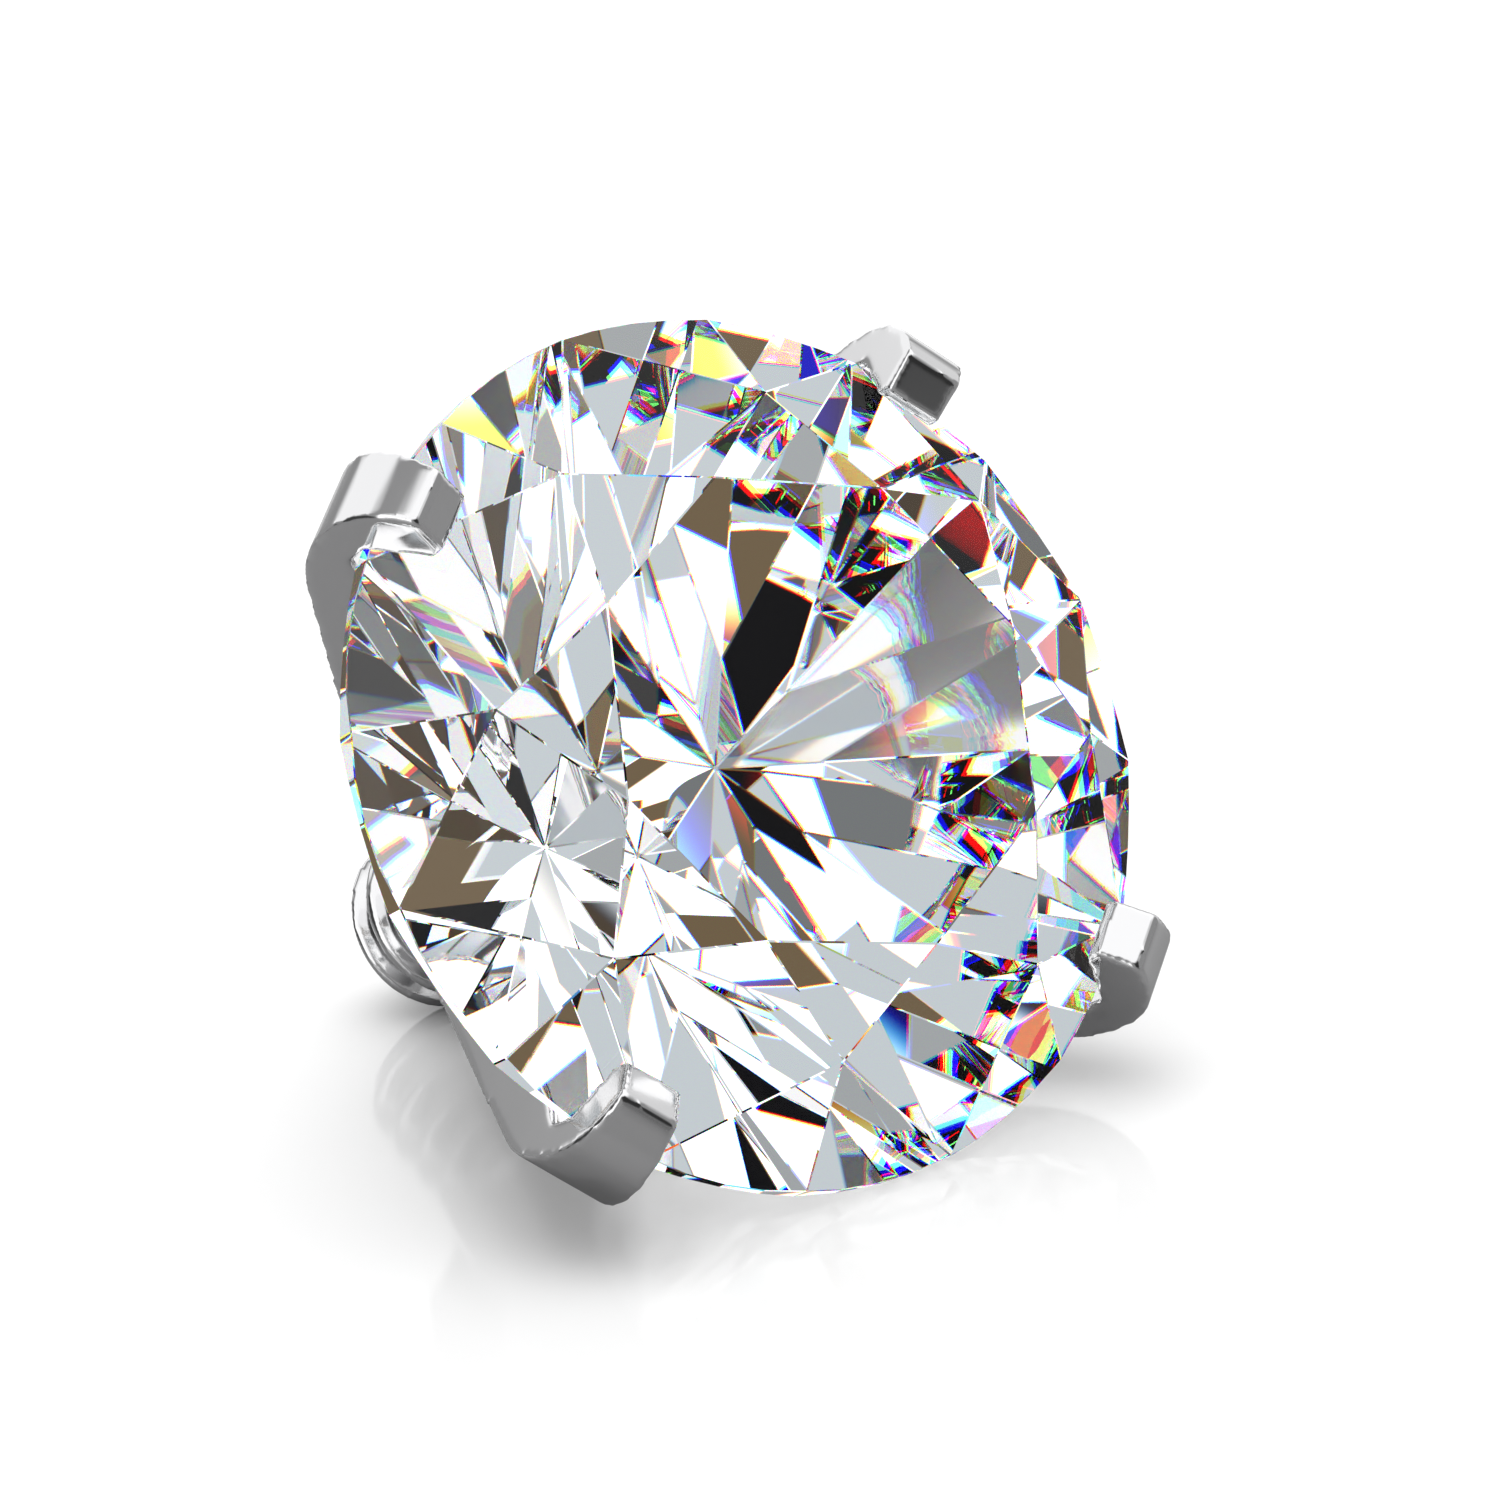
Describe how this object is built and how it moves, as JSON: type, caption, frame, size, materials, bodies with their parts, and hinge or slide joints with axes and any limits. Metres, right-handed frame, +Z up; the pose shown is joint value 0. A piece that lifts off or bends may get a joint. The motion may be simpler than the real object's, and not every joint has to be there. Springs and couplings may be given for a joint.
{
  "type": "dermal anchor top",
  "caption": "Body jewellery top: a clear round brilliant held by prongs in an open head, on a short threaded post that screws into a skin anchor.",
  "frame": {"origin": "on the surface that the part lies on, below the middle of its bounding box", "axes": "+Z up from that surface, -Y the way the stone's table faces, +X to the right seen from the table's side; the part lies on its girdle and the end of its thread"},
  "size_m": [0.005, 0.0052, 0.0045],
  "materials": {
    "stone": "colourless cubic zirconia, polished facets",
    "steel": "surgical steel, mirror polished"
  },
  "bodies": {
    "root": {"round_stone": "stone", "prong_setting": "steel"}
  },
  "joints": []
}
